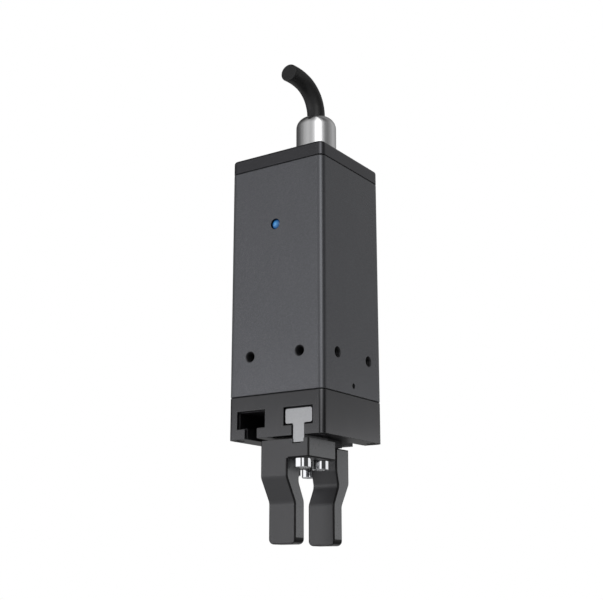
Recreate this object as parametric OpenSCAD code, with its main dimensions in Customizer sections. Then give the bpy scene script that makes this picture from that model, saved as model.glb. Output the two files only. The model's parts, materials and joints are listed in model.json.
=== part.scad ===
// Electric two finger parallel gripper: a square body with a servo motor and a planetary gearhead above
// a rack and pinion that drives two T-shaped rails in opposite directions. Millimetres.
// Origin: the tool centre point, midway between the two finger ends. +Z runs up the body to the cable.
// The front face is the one at -Y. The jaws are drawn fully open.

/* [Body] */
// Side of the square body
body_w = 42; // [41.6:0.1:43]
// Radius of the body's four upright corners
corner_r = 2.6; // [2:0.1:3]
// Height of the base block that guides the rails
base_h = 15.7; // [15.6:0.1:16.5]
// Height of the motor housing
housing_h = 88.3; // [88:0.1:92]
// Height of the top cover
cover_h = 5.6; // [5:0.1:7]
// Depth of the shadow line at each joint between the three body parts
seam = 0.25; // [0.1:0.05:0.4]

/* [Jaws] */
// Travel of each jaw, from fully open to closed
stroke = 9.8; // [8:0.1:9.8]
// Distance of each rail's centre line from the body's axis
rail_x = 10.35; // [10.3:0.05:10.4]
// Width of a rail's stem
stem_w = 4.7; // [4.5:0.1:4.8]
// Width of a finger
finger_w = 11.5; // [10:0.1:11.5]
// Distance from the base block's underside down to the finger ends
finger_drop = 37.5; // [34:0.5:45]
// Thickness of a finger's lower half
tip_t = 5.9; // [5:0.1:6]

/* [Rack and pinion] */
// Module of the rack and pinion teeth
gear_m = 0.5; // [0.5:0.01:0.5]
// Number of teeth on the pinion, even so that both racks mesh alike
pinion_z = 20; // [20:2:20]

/* [Planetary stage] */
// Module of the planetary teeth
planet_m = 0.4; // [0.4:0.01:0.4]
// Teeth on the sun and on each planet; the ring has three times as many
planet_z = 15; // [15:1:15]

/* [Mounting] */
// Distance between the two side threads on a face
side_pitch = 22; // [20:0.5:24]
// Height of the side threads above the base block's underside
side_hole_z = 30.3; // [28:0.1:31]
// Bore of an M4 thread
m4_bore = 3.3; // [3.2:0.05:3.4]

/* [Cable] */
// Diameter of the cable
cable_d = 7.3; // [6.5:0.1:7.4]
// Outer diameter of the cable gland
gland_d = 16.3; // [15:0.1:17]
// Distance of the gland behind the body's axis
gland_y = 7.6; // [7:0.1:8]

/* [Hidden] */
$fn = 48;
eps = 0.01;
half = body_w / 2;
base_z = finger_drop;
housing_z = base_h;
cover_z = base_h + housing_h;
top_z = cover_z + cover_h;
pressure = 20;

// T-slots and rails, heights from the base block's underside
slot_head_w = 11.8;
slot_floor = 4.05;
slot_roof = 9.8;
slot_neck_w = 5.1;
mouth_head_w = 12.56;
mouth_floor = 3.64;
mouth_roof = 10.2;
mouth_neck_w = 5.5;
mouth_depth = 1.5;
rail_head_w = 11.4;
head_lo = 4.25;
head_hi = 9.6;
head_round = 0.8;
neck_fillet = 0.5;
rail_inset = 0.5;
rail_front = rail_inset - half;
stop_groove = 1.15;
seat_lo = -2.5;
seat_end = 4.8;

// Rack and pinion
pitch_r = gear_m * pinion_z / 2;
rack_x = pitch_r + 0.05;
rack_pitch = PI * gear_m;
rack_back = 0.06;
rack_teeth = 11;
rack_top = 2 * rack_pitch;
rack_low = rack_top - rack_teeth * rack_pitch;
rack_root = rack_x + 1.25 * gear_m;
pinion_bore_r = pitch_r + gear_m + 0.4;

// Planetary stage, heights from the base block's underside
ring_z = 3 * planet_z;
planet_orbit = planet_m * planet_z;
gear_lo = 43.7;
gear_h = 4.2;
ring_lo = 41;
ring_hi = 50;
gearhead_r = 11;

// Inside of the housing
cavity_w = 34;
post_w = 4.2;
lower_w = 26;
ledge_z = 34;
plate_h = 4;
motor_lo = ring_hi;
motor_hi = 78;
encoder_hi = 86;

// Screw places: x and y of one screw of each group
cover_screw_xy = 16.3;
base_screw_x = 18.4;
base_screw_y = 17.6;
plate_screw = [14.9, 8.5];
bearing_screw_xy = 9.3;
gearhead_screw_r = 8.9;
board_y = 14.2;
led_z = 80.2;
pin_hole_z = 19.3;
jaw_screw_y = [-17.85, -6.4];

// Foot of the finger, heights from the base block's underside
foot_hi = -1.25;
foot_lo = -8;
foot_x = 14.9;
pad_x = 6;
pad_y = -3.05;
upper_t = 9;

// Route of the cable from the seal inside the gland to its cut end
cable_start = 152;
cable_path = [
    [0, 7.6, 152], [0, 7.6, 154.5], [0, 7.6, 157], [0, 7.6, 160], [0, 7.6, 163],
    [0, 7.6, 166], [0, 7.6, 168.3],
    [0, 7.6, 170.2], [0, 7.57, 172], [0, 7.4, 174], [-0.1, 7.04, 176], [-0.2, 6.4, 177.9],
    [-0.35, 5.5, 179.7], [-0.55, 4.3, 181.3], [-0.8, 2.7, 182.85], [-1.1, 1, 184],
    [-1.4, -0.8, 184.8], [-1.7, -2.7, 185.35], [-2, -4.65, 185.7], [-2.3, -6.6, 185.85],
    [-2.65, -8.6, 185.9]
];
cable_sides = 12;

// ---------- general shapes ----------

module raise(z = 0) {
    translate([0, 0, base_z + z]) children();
}

// Square with four round corners, centred
module rounded_square(w, r) {
    square([w, w - 2 * r], center = true);
    square([w - 2 * r, w], center = true);
    for (x = [-1, 1], y = [-1, 1])
        translate([x * (w / 2 - r), y * (w / 2 - r)]) circle(r);
}

// Block of the body's outline with a shadow line at its lower or upper edge
module body_block(h, lower = 0, upper = 0) {
    translate([0, 0, lower]) linear_extrude(h - lower - upper) rounded_square(body_w, corner_r);
    linear_extrude(h) rounded_square(body_w - 2 * seam, corner_r - seam);
}

// Cavity outline that leaves a post in each corner
module posted_square(w, post) {
    square([w, w - 2 * post], center = true);
    square([w - 2 * post, w], center = true);
}

// Hollow turned ring
module ring(r_out, r_in, h) {
    difference() {
        cylinder(r = r_out, h = h);
        translate([0, 0, -1]) cylinder(r = r_in, h = h + 2);
    }
}

// Four copies at the corners of a rectangle
module four(x, y) {
    for (sx = [-1, 1], sy = [-1, 1]) translate([sx * x, sy * y, 0]) children();
}

// The second jaw is the first one turned half a turn about the body's axis
module opposite() {
    rotate([0, 0, 180]) children();
}

// Socket head screw, head up, with the underside of its head at z = 0
module cap_screw(shank_r, shank_l, head_r, head_h) {
    difference() {
        union() {
            cylinder(r = head_r, h = head_h);
            translate([0, 0, -shank_l]) cylinder(r = shank_r, h = shank_l + eps);
        }
        translate([0, 0, head_h / 2]) cylinder(r = head_r * 0.52, h = head_h, $fn = 6);
    }
}

// Outline with rounded vertices. Each point is [x, y, radius], counter-clockwise.
function unit(v) = v / norm(v);
function around(pts, i, step) = pts[(i + step + len(pts)) % len(pts)];
function toward(pts, i, step) =
    unit([around(pts, i, step).x - pts[i].x, around(pts, i, step).y - pts[i].y]);
function half_angle(pts, i) = acos(toward(pts, i, -1) * toward(pts, i, 1)) / 2;
function tangent(pts, i, step) =
    [pts[i].x, pts[i].y] + toward(pts, i, step) * pts[i].z / tan(half_angle(pts, i));
function middle(pts, i) = unit(toward(pts, i, -1) + toward(pts, i, 1));
function centre(pts, i) =
    [pts[i].x, pts[i].y] + middle(pts, i) * pts[i].z / sin(half_angle(pts, i));
function turn(pts, i) = cross(-toward(pts, i, -1), toward(pts, i, 1));
function chords(pts) = [
    for (i = [0 : len(pts) - 1])
        each pts[i].z > 0 ? [tangent(pts, i, -1), tangent(pts, i, 1)] : [[pts[i].x, pts[i].y]]
];

// The circular segment between a vertex's chord and its arc
module arc_segment(pts, i) {
    r = pts[i].z;
    a = tangent(pts, i, -1);
    b = tangent(pts, i, 1);
    along = unit(b - a) * 3 * r;
    inward = middle(pts, i) * 3 * r;
    difference() {
        translate(centre(pts, i)) circle(r);
        polygon([a - along, b + along, b + along + inward, a - along + inward]);
    }
}

module rounded_outline(pts) {
    difference() {
        union() {
            polygon(chords(pts));
            for (i = [0 : len(pts) - 1])
                if (pts[i].z > 0 && turn(pts, i) > 0) arc_segment(pts, i);
        }
        for (i = [0 : len(pts) - 1])
            if (pts[i].z > 0 && turn(pts, i) < 0) arc_segment(pts, i);
    }
}

// ---------- gear teeth ----------

function involute(a) = tan(a) * 180 / PI - a;
// Half the angle that a tooth fills at radius r, for a gear of z teeth and pitch radius rp
function tooth_half(z, rp, r, thin) =
    90 / z - thin / rp * 90 / PI + involute(pressure)
    - involute(acos(min(1, rp * cos(pressure) / r)));
function polar(r, a) = [r * cos(a), r * sin(a)];
// Outline of a spur gear with root radius rf and tip radius ra; thin takes backlash off each tooth
function gear_outline(z, m, rf, ra, thin, steps = 4) = let (
    rp = m * z / 2,
    rb = rp * cos(pressure),
    low = max(rf, rb),
    radii = [for (s = [0 : steps]) low + (ra - low) * s / steps],
    foot = tooth_half(z, rp, low, thin)
) [
    for (t = [0 : z - 1]) let (at = t * 360 / z) each concat(
        rf < rb ? [polar(rf, at - foot)] : [],
        [for (s = [0 : steps]) polar(radii[s], at - tooth_half(z, rp, radii[s], thin))],
        [for (s = [steps : -1 : 0]) polar(radii[s], at + tooth_half(z, rp, radii[s], thin))],
        rf < rb ? [polar(rf, at + foot)] : []
    )
];

// Toothed inner edge of a rail's head, in the XY plane, tooth spaces on y = 0 at rest
function rack_tooth(y) = let (
    flank = tan(pressure) * gear_m,
    t = rack_pitch / 4 - rack_back / 2
) [
    [rack_root, y + t + 1.25 * flank],
    [rack_x - gear_m, y + t - flank],
    [rack_x - gear_m, y - t + flank],
    [rack_root, y - t - 1.25 * flank]
];

// ---------- body ----------

// The T of a slot, looking along Y
module tee(head_w, lo, hi, neck_w) {
    translate([-head_w / 2, lo]) square([head_w, hi - lo]);
    translate([-neck_w / 2, -1]) square([neck_w, lo + 2]);
}

module along_y(y0, y1) {
    translate([0, y1, 0]) rotate([90, 0, 0]) linear_extrude(y1 - y0) children();
}

// One hole of each kind for the screws that hold the base block to the housing
module base_screw_places() {
    four(base_screw_x, base_screw_y) children();
    for (y = [-base_screw_y, base_screw_y]) translate([0, y, 0]) children();
}

module base_block() {
    color([0.28, 0.28, 0.29]) raise() difference() {
        body_block(base_h, upper = seam);
        for (x = [-rail_x, rail_x]) translate([x, 0, 0]) {
            along_y(-half - 1, half + 1)
                tee(slot_head_w, slot_floor, slot_roof, slot_neck_w);
            for (y = [-half - 1, half - mouth_depth]) along_y(y, y + mouth_depth + 1)
                tee(mouth_head_w, mouth_floor, mouth_roof, mouth_neck_w);
        }
        translate([0, 0, slot_floor]) cylinder(r = pinion_bore_r, h = base_h);
        translate([0, 0, 10.5]) cylinder(r = 6.52, h = base_h);
        translate([0, 0, 1.6]) cylinder(r = 3.52, h = base_h);
        base_screw_places() {
            translate([0, 0, -1]) cylinder(r = 2.4, h = 3.7);
            translate([0, 0, -1]) cylinder(r = 1.35, h = base_h + 2);
        }
        for (x = [-rail_x, rail_x]) translate([x, 0, slot_roof - 1]) cylinder(r = 1.02, h = 6);
        four(bearing_screw_xy, bearing_screw_xy)
            translate([0, 0, base_h - 4]) cylinder(r = 0.8, h = 5);
    }
}

// Steel pins that stop each rail at both ends of its travel
module stop_pins() {
    color([0.75, 0.76, 0.78]) raise(slot_roof - 1.2)
        for (x = [-rail_x, rail_x]) translate([x, 0, 0]) cylinder(r = 1, h = 6);
}

module bearing_plate() {
    color([0.62, 0.63, 0.65]) raise(base_h) linear_extrude(1.8) difference() {
        rounded_square(25, 2);
        circle(4.5);
        four(bearing_screw_xy, bearing_screw_xy) circle(1.1);
    }
}

module bearing_plate_screws() {
    color([0.7, 0.7, 0.72]) raise(base_h + 1.8) four(bearing_screw_xy, bearing_screw_xy)
        cap_screw(0.78, 5, 1.5, 1.2);
}

module side_thread() {
    translate([0, 0, -7.5]) cylinder(r = m4_bore / 2, h = 9);
    translate([0, 0, -0.45]) cylinder(r1 = m4_bore / 2, r2 = m4_bore / 2 + 0.6, h = 0.6);
}

module housing() {
    color([0.36, 0.36, 0.38]) raise() difference() {
        translate([0, 0, housing_z]) body_block(housing_h, lower = seam, upper = seam);
        translate([0, 0, housing_z - 1]) linear_extrude(ledge_z - housing_z + 2)
            square(lower_w, center = true);
        translate([0, 0, ledge_z]) linear_extrude(cover_z - ledge_z + 1)
            posted_square(cavity_w, post_w);
        for (x = [-1, 1] * side_pitch / 2) {
            translate([x, -half, side_hole_z]) rotate([90, 0, 0]) side_thread();
            translate([half, x, side_hole_z]) rotate([0, 90, 0]) side_thread();
        }
        translate([half - 4, 0, pin_hole_z]) rotate([0, 90, 0]) cylinder(r = 1, h = 5);
        translate([0, -half + 5, led_z]) rotate([90, 0, 0]) cylinder(r = 2.05, h = 6);
        four(cover_screw_xy, cover_screw_xy)
            translate([0, 0, cover_z - 12]) cylinder(r = 1.25, h = 13);
        base_screw_places() translate([0, 0, housing_z - 1]) cylinder(r = 1.05, h = 9);
        four(plate_screw.x, plate_screw.y) translate([0, 0, ledge_z - 5]) cylinder(r = 0.8, h = 6);
        translate([0, 0, cover_z - 0.8]) linear_extrude(2) seal_outline();
    }
}

module seal_outline(gap = 0) {
    difference() {
        rounded_square(39.8 - 2 * gap, 1.9);
        rounded_square(37.6 + 2 * gap, 0.9);
    }
}

module top_cover() {
    color([0.25, 0.25, 0.25]) raise(cover_z) difference() {
        union() {
            body_block(cover_h, lower = seam, upper = 0);
            translate([0, 0, -1.5]) linear_extrude(2) posted_square(cavity_w - 0.2, post_w + 0.1);
        }
        translate([0, gland_y, -2]) cylinder(r = 6.05, h = cover_h + 4);
        four(cover_screw_xy, cover_screw_xy) {
            translate([0, 0, -1]) cylinder(r = 1.6, h = cover_h + 2);
            translate([0, 0, cover_h - 3.2]) cylinder(r = 3, h = 4);
        }
    }
}

// Flat cord seal that lies in its groove in the housing's rim
module cover_seal() {
    color([0.12, 0.12, 0.12]) raise(cover_z - 0.8) linear_extrude(0.8) seal_outline(0.05);
}

module cover_screws() {
    color([0.7, 0.7, 0.72]) raise(top_z - 3.2) four(cover_screw_xy, cover_screw_xy)
        cap_screw(1.2, 11, 2.75, 3);
}

module base_screws() {
    color([0.3, 0.3, 0.32]) raise(2.7) base_screw_places()
        rotate([180, 0, 0]) cap_screw(1.03, 20, 2.25, 2.5);
}

// ---------- jaws ----------

// Section of a rail's head, with round corners
module head_section() {
    w = rail_head_w - 2 * head_round;
    h = head_hi - head_lo - 2 * head_round;
    translate([0, (head_lo + head_hi) / 2]) {
        square([rail_head_w, h], center = true);
        square([w, h + 2 * head_round], center = true);
        for (x = [-1, 1], y = [-1, 1]) translate([x * w / 2, y * h / 2]) circle(head_round);
    }
}

// Section of a rail's stem, with a fillet on each side under the head
module stem_section() {
    wide = stem_w + 2 * neck_fillet;
    translate([-stem_w / 2, seat_lo]) square([stem_w, head_lo - seat_lo + 1]);
    difference() {
        translate([-wide / 2, head_lo - neck_fillet]) square([wide, neck_fillet + 0.5]);
        for (x = [-1, 1]) translate([x * wide / 2, head_lo - neck_fillet]) circle(neck_fillet);
    }
}

module rack() {
    translate([0, 0, head_lo]) linear_extrude(head_hi - head_lo) polygon(concat(
        [
            [rack_root, rack_low], [rack_root + 0.6, rack_low],
            [rack_root + 0.6, rack_top], [rack_root, rack_top]
        ],
        [for (i = [1 : rack_teeth]) each rack_tooth(rack_top - (i - 0.5) * rack_pitch)]
    ));
}

// One rail: T section along Y with a rack on its inner side, a seat below and a stop groove on top
module rail() {
    difference() {
        translate([rail_x, 0, 0]) {
            along_y(rail_front, rack_top) head_section();
            along_y(rail_front, rack_top - 0.5) stem_section();
            along_y(rail_front, seat_end) translate([-stem_w / 2, seat_lo]) square([stem_w, 5]);
        }
        translate([0, rack_low, head_lo - 1]) cube([rack_root, rack_top - rack_low + 1, 8]);
        translate([rail_x - 1.1, -stroke - 1.1, head_hi - stop_groove])
            cube([2.2, stroke + 2.2, 2]);
        for (y = jaw_screw_y) translate([rail_x, y, seat_lo - 1]) cylinder(r = 1.5, h = 8);
    }
    rack();
}

module front_rail() {
    color([0.64, 0.65, 0.67]) raise() rail();
}

module rear_rail() {
    color([0.64, 0.65, 0.67]) raise() opposite() rail();
}

// Side outline of the upright part of a finger: x here is the body's Y, y is the height
function finger_outline() = let (
    tip_in = -half + 11.1,
    tip_out = tip_in - tip_t
) [
    [-half, foot_hi, 0], [-half, -14.5, 3], [tip_out, -22.9, 3], [tip_out, -finger_drop, 0],
    [tip_in, -finger_drop, 0], [tip_in, -22.3, 3.5], [-half + 7.5, -15.4, 3.5],
    [-half + upper_t, -9.7, 4], [-half + upper_t, foot_hi, 0]
];

// One L-shaped finger: upright blade across the body's middle, foot under its rail
module finger() {
    difference() {
        union() {
            intersection() {
                translate([-finger_w / 2, 0, 0]) rotate([90, 0, 90]) linear_extrude(finger_w)
                    rounded_outline(finger_outline());
                along_y(-half - 1, 1) rounded_outline([
                    [-finger_w / 2, 1, 0], [-finger_w / 2, -finger_drop, 2],
                    [finger_w / 2, -finger_drop, 2], [finger_w / 2, 1, 0]
                ]);
            }
            translate([0, -half, foot_lo]) cube([foot_x, upper_t, foot_hi - foot_lo]);
            translate([pad_x, -half, foot_lo])
                cube([foot_x - pad_x, half + pad_y, foot_hi - foot_lo]);
        }
        translate([rail_x - stem_w / 2 - 0.05, -half - 1, seat_lo])
            cube([stem_w + 0.1, half + 1, 3]);
        for (y = jaw_screw_y) translate([rail_x, y, foot_lo - 1]) cylinder(r = 1.6, h = 8);
    }
}

module front_finger() {
    color([0.3, 0.3, 0.31]) raise() finger();
}

module rear_finger() {
    color([0.3, 0.3, 0.31]) raise() opposite() finger();
}

module jaw_screws() {
    for (y = jaw_screw_y) translate([rail_x, y, foot_lo])
        rotate([180, 0, 0]) cap_screw(1.45, 11, 2.95, 3.4);
}

module front_jaw_screws() {
    color([0.85, 0.86, 0.88]) raise() jaw_screws();
}

module rear_jaw_screws() {
    color([0.85, 0.86, 0.88]) raise() opposite() jaw_screws();
}

// ---------- drive ----------

module pinion() {
    color([0.7, 0.68, 0.6]) raise() {
        translate([0, 0, 4.2]) linear_extrude(5.2)
            polygon(gear_outline(pinion_z, gear_m, pitch_r - 1.25 * gear_m, pitch_r + gear_m, 0.04));
        translate([0, 0, 1.7]) cylinder(r = 1.49, h = 3);
        translate([0, 0, 3.75]) cylinder(r = 2.1, h = 1);
        translate([0, 0, 9]) cylinder(r = 3.8, h = 1.5);
        translate([0, 0, 10]) cylinder(r = 2.99, h = 5.6);
        difference() {
            translate([0, 0, 15]) cylinder(r = 2.5, h = 9.3);
            translate([2, -5, 18.5]) cube([5, 10, 10]);
        }
    }
}

// Fixed part of a shielded ball bearing: outer ring with its two shields
module bearing_outer(id, od, w) {
    wall = (od - id) / 2;
    difference() {
        ring(od / 2, id / 2 + 0.5 * wall, w);
        translate([0, 0, 0.4]) ring(od / 2 - 0.22 * wall, 0.1, w - 0.8);
    }
}

// Turning part of the bearing: inner ring with its ball track
module bearing_inner(id, od, w) {
    wall = (od - id) / 2;
    ring(id / 2 + 0.32 * wall, id / 2, w);
}

module lower_bearing() {
    color([0.75, 0.75, 0.77]) raise(1.65) bearing_outer(3, 7, 2);
}

module lower_bearing_inner() {
    color([0.8, 0.8, 0.82]) raise(1.65) bearing_inner(3, 7, 2);
}

module upper_bearing() {
    color([0.75, 0.75, 0.77]) raise(10.55) bearing_outer(6, 13, 5);
}

module upper_bearing_inner() {
    color([0.8, 0.8, 0.82]) raise(10.55) bearing_inner(6, 13, 5);
}

// Sector of a ring, for the claws of the coupling
module claw(a0, a1, h) {
    linear_extrude(h) intersection() {
        difference() {
            circle(7);
            circle(3.2);
        }
        polygon([[0, 0], polar(12, a0), polar(12, (a0 + a1) / 2), polar(12, a1)]);
    }
}

// Coupling hub with three claws, bored for a shaft with a flat
module coupling_hub() {
    difference() {
        cylinder(r = 7, h = 5.8);
        translate([0, 0, -1]) cylinder(r = 2.53, h = 8);
        translate([0, 0, 2.8]) rotate([0, 90, 0]) cylinder(r = 1.25, h = 8);
    }
    for (i = [0 : 2]) translate([0, 0, 5.8 - eps]) claw(120 * i + 5, 120 * i + 55, 2.9);
}

module coupling_lower() {
    color([0.66, 0.67, 0.7]) raise(18.4) coupling_hub();
}

module coupling_upper() {
    color([0.66, 0.67, 0.7]) raise(33.6) rotate([180, 0, 0]) coupling_hub();
}

// Elastic star between the claws
module coupling_spider() {
    color([0.75, 0.16, 0.12]) raise(24.4) {
        ring(3.1, 1.6, 3.2);
        for (i = [0 : 5]) linear_extrude(3.2) intersection() {
            difference() {
                circle(6.9);
                circle(3);
            }
            polygon([[0, 0], polar(12, 60 * i - 4.2), polar(12, 60 * i + 4.2)]);
        }
    }
}

module mount_plate() {
    color([0.55, 0.56, 0.58]) raise(ledge_z) linear_extrude(plate_h) difference() {
        posted_square(cavity_w - 0.2, post_w + 0.1);
        circle(6.1);
        four(plate_screw.x, plate_screw.y) circle(1.15);
        for (i = [0 : 3]) rotate([0, 0, 45 + 90 * i]) translate([gearhead_screw_r, 0]) circle(1.1);
    }
}

module mount_plate_screws() {
    color([0.7, 0.7, 0.72]) raise(ledge_z + plate_h) four(plate_screw.x, plate_screw.y)
        cap_screw(0.78, 8, 1.8, 2);
}

module gearhead_flange() {
    color([0.5, 0.5, 0.52]) raise() difference() {
        union() {
            translate([0, 0, 36]) cylinder(r = 6, h = 3);
            translate([0, 0, 38]) cylinder(r = gearhead_r, h = ring_lo - 38);
        }
        translate([0, 0, 35]) cylinder(r = 4.2, h = 7);
        translate([0, 0, 36.6]) cylinder(r = 5.02, h = 7);
        for (i = [0 : 3]) rotate([0, 0, 45 + 90 * i])
            translate([gearhead_screw_r, 0, 37]) cylinder(r = 0.8, h = 5);
    }
}

// Screws from below through the mount plate into the gearhead
module gearhead_screws() {
    color([0.7, 0.7, 0.72]) raise(ledge_z)
        for (i = [0 : 3]) rotate([180, 0, 45 + 90 * i])
            translate([gearhead_screw_r, 0, 0]) cap_screw(0.78, 6.5, 1.8, 1.6);
}

module output_bearing() {
    color([0.75, 0.75, 0.77]) raise(36.65) bearing_outer(5, 10, 4);
}

module output_bearing_inner() {
    color([0.8, 0.8, 0.82]) raise(36.65) bearing_inner(5, 10, 4);
}

// Output shaft, carrier disc and the three pins that carry the planets
module planet_carrier() {
    color([0.68, 0.68, 0.7]) raise() {
        difference() {
            translate([0, 0, 27.7]) cylinder(r = 2.49, h = 14);
            translate([2, -5, 27]) cube([5, 10, 7]);
        }
        translate([0, 0, 40.75]) cylinder(r = 3.4, h = 1);
        translate([0, 0, 41.3]) cylinder(r = 7.6, h = 2.1);
        for (i = [0 : 2]) rotate([0, 0, 120 * i])
            translate([planet_orbit, 0, 43]) cylinder(r = 0.95, h = 5.2);
    }
}

module planet(i) {
    color([0.72, 0.66, 0.5]) raise(gear_lo) rotate([0, 0, 120 * i]) translate([planet_orbit, 0, 0])
        linear_extrude(gear_h) difference() {
            polygon(gear_outline(planet_z, planet_m, planet_orbit / 2 - 1.25 * planet_m,
                planet_orbit / 2 + planet_m, 0.04, 3));
            circle(1);
        }
}

module sun_gear() {
    color([0.72, 0.66, 0.5]) raise(gear_lo) linear_extrude(gear_h + 1) difference() {
        polygon(gear_outline(planet_z, planet_m, planet_orbit / 2 - 1.25 * planet_m,
            planet_orbit / 2 + planet_m, 0.04, 3));
        circle(1.5);
    }
}

// Gearhead body with the internal ring teeth cut into it
module ring_gear() {
    ring_r = planet_m * ring_z / 2;
    color([0.5, 0.5, 0.52]) raise(ring_lo) linear_extrude(ring_hi - ring_lo) difference() {
        circle(gearhead_r);
        polygon(gear_outline(ring_z, planet_m, ring_r - 0.6 * planet_m, ring_r + 1.25 * planet_m,
            -0.04, 3));
    }
}

module motor_can() {
    color([0.6, 0.61, 0.63]) raise(motor_lo) difference() {
        cylinder(r = gearhead_r, h = motor_hi - motor_lo);
        translate([0, 0, 2]) cylinder(r = gearhead_r - 0.8, h = motor_hi - motor_lo - 4);
        translate([0, 0, -1]) cylinder(r = 2, h = motor_hi - motor_lo + 2);
    }
}

// Laminated core with six slots
module motor_stator() {
    color([0.45, 0.3, 0.2]) raise(motor_lo + 4) linear_extrude(19) difference() {
        circle(10.1);
        circle(6.1);
        for (i = [0 : 5]) rotate([0, 0, 60 * i]) {
            translate([6, -0.4]) square([1.2, 0.8]);
            translate([7, -1.6]) square([1.9, 3.2]);
        }
    }
}

// Shaft with its magnet rotor
module motor_rotor() {
    color([0.5, 0.51, 0.54]) raise() {
        translate([0, 0, gear_lo + 0.2]) cylinder(r = 1.48, h = motor_hi - gear_lo + 0.8);
        translate([0, 0, motor_lo + 4]) cylinder(r = 5.7, h = 19);
    }
}

module encoder_magnet() {
    color([0.35, 0.35, 0.37]) raise(motor_hi + 1.05) cylinder(r = 2.5, h = 2);
}

module encoder_board() {
    color([0.1, 0.32, 0.18]) raise(motor_hi + 4) {
        cylinder(r = 9, h = 1);
        translate([-2.5, -2, -0.8]) cube([5, 4, 1]);
    }
}

module encoder_cover() {
    color([0.2, 0.2, 0.21]) raise(motor_hi) difference() {
        cylinder(r = 10.5, h = encoder_hi - motor_hi);
        translate([0, 0, -1]) cylinder(r = 9.3, h = encoder_hi - motor_hi);
        translate([0, 7, 2]) cube([5, 10, 10], center = true);
    }
}

// ---------- electronics ----------

// Board that stands along a wall, chips towards the wall, its outer face at y
module board(y, z0, z1, w) {
    translate([-w / 2, y, z0]) cube([w, 1.2, z1 - z0]);
}

module control_board() {
    color([0.1, 0.32, 0.18]) raise() {
        board(-board_y, 52, 99, 24);
        translate([-4.5, -board_y - 1, 62]) cube([9, 1.2, 9]);
        translate([-8, -board_y - 0.8, 88]) cube([5, 1, 5]);
        translate([4, -board_y - 0.8, 87]) cube([4, 1, 6]);
        translate([-1.2, -board_y - 0.7, led_z - 0.8]) cube([2.4, 1, 1.6]);
    }
}

module power_board() {
    color([0.1, 0.32, 0.18]) raise() {
        board(board_y - 1.2, 40, 92, 24);
        for (z = [46, 56, 66]) translate([-8, board_y - 0.2, z]) cube([6, 1.2, 5]);
        for (z = [50, 62]) translate([5, board_y - 0.2, z]) cube([5, 1.6, 6]);
    }
}

// Spacers between the boards and the housing walls
module board_places() {
    for (x = [-9.5, 9.5], z = [56, 95]) translate([x, -board_y, z]) rotate([90, 0, 0]) children();
    for (x = [-9.5, 9.5], z = [43, 89]) translate([x, board_y, z]) rotate([-90, 0, 0]) children();
}

module board_spacers() {
    color([0.8, 0.68, 0.35]) raise() board_places() cylinder(r = 1.9, h = cavity_w / 2 - board_y);
}

module board_screws() {
    color([0.7, 0.7, 0.72]) raise() board_places()
        translate([0, 0, -1.2]) rotate([180, 0, 0]) cylinder(r = 1.5, h = 0.9);
}

// Blue lens of the status lamp, a light guide through the front wall
module status_lens() {
    color([0.2, 0.52, 0.77]) raise() translate([0, 0, led_z]) rotate([90, 0, 0]) {
        translate([0, 0, board_y + 0.8]) cylinder(r = 1.95, h = half - board_y - 1.7);
        translate([0, 0, half - 3.85]) intersection() {
            translate([0, 0, -1.1]) sphere(r = 4.7);
            cylinder(r = 1.95, h = 4);
        }
    }
}

// ---------- cable and gland ----------

module on_gland(z) {
    raise(z) translate([0, gland_y, 0]) children();
}

module gland_body() {
    color([0.72, 0.73, 0.75]) on_gland(0) difference() {
        union() {
            translate([0, 0, cover_z - 5]) cylinder(r = 6, h = cover_h + 5.5);
            translate([0, 0, top_z]) cylinder(r = gland_d / 2, h = 6.5);
            translate([0, 0, top_z + 6]) cylinder(r = 6.4, h = 4);
        }
        translate([0, 0, cover_z - 6]) cylinder(r = 3.75, h = 30);
        translate([0, 0, top_z + 4]) cylinder(r = 5.25, h = 10);
    }
}

// Rubber collar that grips the cable
module gland_seal() {
    color([0.1, 0.1, 0.1]) on_gland(top_z + 4) ring(5.2, cable_d / 2, 5.9);
}

// Cap with a large round shoulder that closes on to the cable
module gland_nut() {
    lo = top_z + 6.7;
    shoulder = 128.7;
    shoulder_r = 4.6;
    color([0.78, 0.79, 0.81]) on_gland(0) difference() {
        union() {
            translate([0, 0, lo]) cylinder(r = gland_d / 2, h = shoulder - lo);
            rotate_extrude() {
                translate([gland_d / 2 - shoulder_r, shoulder]) intersection() {
                    circle(shoulder_r);
                    square(shoulder_r);
                }
                translate([0, shoulder]) square([gland_d / 2 - shoulder_r, shoulder_r]);
            }
        }
        translate([0, 0, lo - 1]) cylinder(r = cable_d / 2 + 0.2, h = 30);
        translate([0, 0, lo - 1]) cylinder(r = 6.45, h = 5);
    }
}

module gland_locknut() {
    color([0.7, 0.71, 0.73]) on_gland(cover_z - 4.5) difference() {
        cylinder(r = 8.6, h = 2.8, $fn = 6);
        translate([0, 0, -1]) cylinder(r = 6.05, h = 5);
    }
}

// Held length of the cable, inside the gland and the cover
module cable_inner() {
    color([0.1, 0.1, 0.1]) raise(97) translate([0, gland_y, 0])
        cylinder(r = cable_d / 2, h = cable_start - base_z - 97);
}

// Bundle of insulated wires that leaves the cable's jacket
module cable_leads() {
    color([0.15, 0.2, 0.5]) on_gland(92.2) {
        cylinder(r = 0.75, h = 4.8);
        for (i = [0 : 5]) rotate([0, 0, 60 * i]) translate([1.7, 0, 0]) cylinder(r = 0.75, h = 4.8);
    }
}

// Plug of the wires, seated on the power board's upper edge
module lead_connector() {
    color([0.85, 0.84, 0.78]) on_gland(88.6) translate([-5, -3, 0]) cube([10, 6, 3.6]);
}

// Free length of the cable: one tube swept along its route
function heading(p, i) = unit(p[min(i + 1, len(p) - 1)] - p[max(i - 1, 0)]);
function cable_ring(p, i) = let (
    h = heading(p, i),
    side = [1, 0, 0],
    over = cross(h, side)
) [
    for (s = [0 : cable_sides - 1]) let (a = 360 * s / cable_sides)
        p[i] + (side * cos(a) + over * sin(a)) * cable_d / 2
];

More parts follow.
